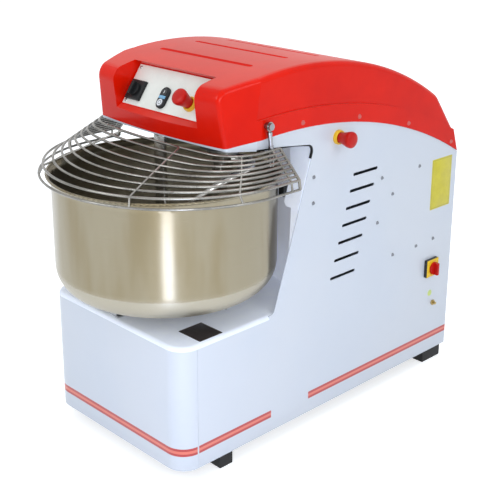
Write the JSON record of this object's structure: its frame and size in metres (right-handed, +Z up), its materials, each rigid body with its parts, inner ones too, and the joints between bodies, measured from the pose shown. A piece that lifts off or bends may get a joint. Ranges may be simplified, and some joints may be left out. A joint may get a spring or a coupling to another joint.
{
  "type": "spiral dough mixer",
  "caption": "Free-standing spiral dough mixer with a turning bowl, spiral hook, breaker bar, hinged wire guard, domed head cover, leaning control plate and a hidden belt drive.",
  "frame": {"origin": "on the floor, in the machine's middle plane and at the middle of its overall length", "axes": "+X to the machine's left-hand side seen from behind, which is the right seen from the front; +Y to the back; +Z up"},
  "size_m": [0.667, 1.126, 0.942],
  "materials": {
    "white_paint": "semi-gloss powder coat",
    "red_cover": "gloss",
    "frame_paint": "matt primer",
    "black_rubber": "matt",
    "zinc_steel": "zinc plated",
    "black_plastic": "satin",
    "white_plastic": "gloss",
    "blue_lens": "gloss, translucent",
    "yellow_plastic": "satin",
    "red_plastic": "gloss",
    "brass": "turned",
    "grey_plastic": "matt",
    "stainless_bowl": "satin, spun round its axis",
    "stainless_tool": "satin",
    "bright_wire": "polished stainless wire",
    "turned_steel": "turned",
    "cast_iron": "machined and painted casting",
    "motor_alloy": "painted, finned",
    "nylon": "satin"
  },
  "bodies": {
    "stand": {"base_frame": "frame_paint", "rubber_feet": "black_rubber", "front_panel": "white_paint", "deck_plate": "white_paint", "right_side_panel": "white_paint", "left_side_panel": "white_paint", "rear_panel": "white_paint", "throat_wall": "white_paint", "throat_cheeks": "white_paint", "head_underside": "white_paint", "head_plate": "frame_paint", "head_cover": "red_cover", "body_screws": "zinc_steel", "control_plate": "white_paint", "plate_screws": "zinc_steel", "selector_base": "black_plastic", "button_housing": "black_plastic", "pilot_lens": "blue_lens", "front_estop_base": "yellow_plastic", "side_estop_base": "yellow_plastic", "main_switch_housing": "yellow_plastic", "earth_stud": "brass", "guard_switch": "black_plastic", "electrical_box": "grey_plastic", "drive_bridges": "frame_paint", "bowl_bearing_housing": "cast_iron", "bowl_bearings": "turned_steel", "drive_belts": "black_rubber", "bowl_gearmotor": "motor_alloy", "spiral_motor": "motor_alloy", "countershaft_housings": "cast_iron", "countershaft_bearings": "turned_steel", "spiral_bearing_housing": "cast_iron", "spiral_bearings": "turned_steel", "breaker_bar": "stainless_tool", "roller_brackets": "zinc_steel", "guard_bolts": "zinc_steel"},
    "selector": {"selector_knob": "black_plastic"},
    "start": {"start_button": "black_plastic"},
    "stop": {"stop_button": "white_plastic"},
    "front_estop": {"front_estop_button": "red_plastic"},
    "side_estop": {"side_estop_button": "red_plastic"},
    "main_switch": {"main_switch_knob": "red_plastic"},
    "bowl": {"bowl": "stainless_bowl", "bowl_hub": "turned_steel", "bowl_pulley": "cast_iron"},
    "roller_1": {"bowl_roller_1": "nylon"},
    "roller_2": {"bowl_roller_2": "nylon"},
    "roller_3": {"bowl_roller_3": "nylon"},
    "bowl_drive": {"bowl_drive_shaft": "turned_steel", "bowl_drive_pulley": "cast_iron"},
    "spiral": {"spiral_hook": "stainless_tool", "spiral_shaft": "turned_steel", "spiral_pulley": "cast_iron"},
    "countershaft": {"countershaft": "turned_steel", "countershaft_low_pulley": "cast_iron", "countershaft_top_pulley": "cast_iron"},
    "motor": {"motor_shaft": "turned_steel", "motor_pulley": "cast_iron"},
    "guard": {"guard": "bright_wire"}
  },
  "joints": [
    {"name": "bowl_spin", "type": "hinge", "parent": "stand", "child": "bowl", "pos_m": [0, -0.273, 0.5], "axis": [0, 0, 1], "continuous": true},
    {"name": "roller_1_spin", "type": "hinge", "parent": "stand", "child": "roller_1", "pos_m": [-0.00775, -0.4208, 0.3787], "axis": [-0.0523, -0.9986, 0], "continuous": true},
    {"name": "roller_2_spin", "type": "hinge", "parent": "stand", "child": "roller_2", "pos_m": [0.13187, -0.20581, 0.3787], "axis": [0.891, 0.454, 0], "continuous": true},
    {"name": "roller_3_spin", "type": "hinge", "parent": "stand", "child": "roller_3", "pos_m": [-0.12412, -0.19239, 0.3787], "axis": [-0.8387, 0.5446, 0], "continuous": true},
    {"name": "bowl_drive_spin", "type": "hinge", "parent": "stand", "child": "bowl_drive", "pos_m": [0, 0.113, 0.135], "axis": [0, 0, 1], "continuous": true},
    {"name": "spiral_spin", "type": "hinge", "parent": "stand", "child": "spiral", "pos_m": [0.085, -0.167, 0.76], "axis": [0, 0, 1], "continuous": true},
    {"name": "countershaft_spin", "type": "hinge", "parent": "stand", "child": "countershaft", "pos_m": [0, 0.233, 0.56], "axis": [0, 0, 1], "continuous": true},
    {"name": "motor_spin", "type": "hinge", "parent": "stand", "child": "motor", "pos_m": [0, 0.433, 0.357], "axis": [0, 0, 1], "continuous": true},
    {"name": "guard_lift", "type": "hinge", "parent": "stand", "child": "guard", "pos_m": [0, -0.187, 0.822], "axis": [-1, 0, 0], "range_deg": [0, 45]},
    {"name": "selector_turn", "type": "hinge", "parent": "stand", "child": "selector", "pos_m": [-0.109, -0.26243, 0.85465], "axis": [0, 0.8192, -0.5736], "range_deg": [0, 90]},
    {"name": "main_switch_turn", "type": "hinge", "parent": "stand", "child": "main_switch", "pos_m": [0.25, 0.4685, 0.3035], "axis": [-1, 0, 0], "range_deg": [0, 90]},
    {"name": "start_press", "type": "slide", "parent": "stand", "child": "start", "axis": [0, 0.8192, -0.5736], "range_m": [0, 0.003], "stiffness_N_per_m": 800},
    {"name": "stop_press", "type": "slide", "parent": "stand", "child": "stop", "axis": [0, 0.8192, -0.5736], "range_m": [0, 0.003], "stiffness_N_per_m": 800},
    {"name": "front_estop_press", "type": "slide", "parent": "stand", "child": "front_estop", "axis": [0, 0.8192, -0.5736], "range_m": [0, 0.006]},
    {"name": "side_estop_press", "type": "slide", "parent": "stand", "child": "side_estop", "axis": [-1, 0, 0], "range_m": [0, 0.006]}
  ],
  "couplings": [
    {"joint": "roller_1_spin", "follows": "bowl_spin", "ratio": -8.7059},
    {"joint": "roller_2_spin", "follows": "bowl_spin", "ratio": -8.7059},
    {"joint": "roller_3_spin", "follows": "bowl_spin", "ratio": -8.7059},
    {"joint": "bowl_drive_spin", "follows": "bowl_spin", "ratio": 4.5714},
    {"joint": "countershaft_spin", "follows": "spiral_spin", "ratio": 2.5},
    {"joint": "motor_spin", "follows": "spiral_spin", "ratio": 7.8125}
  ]
}
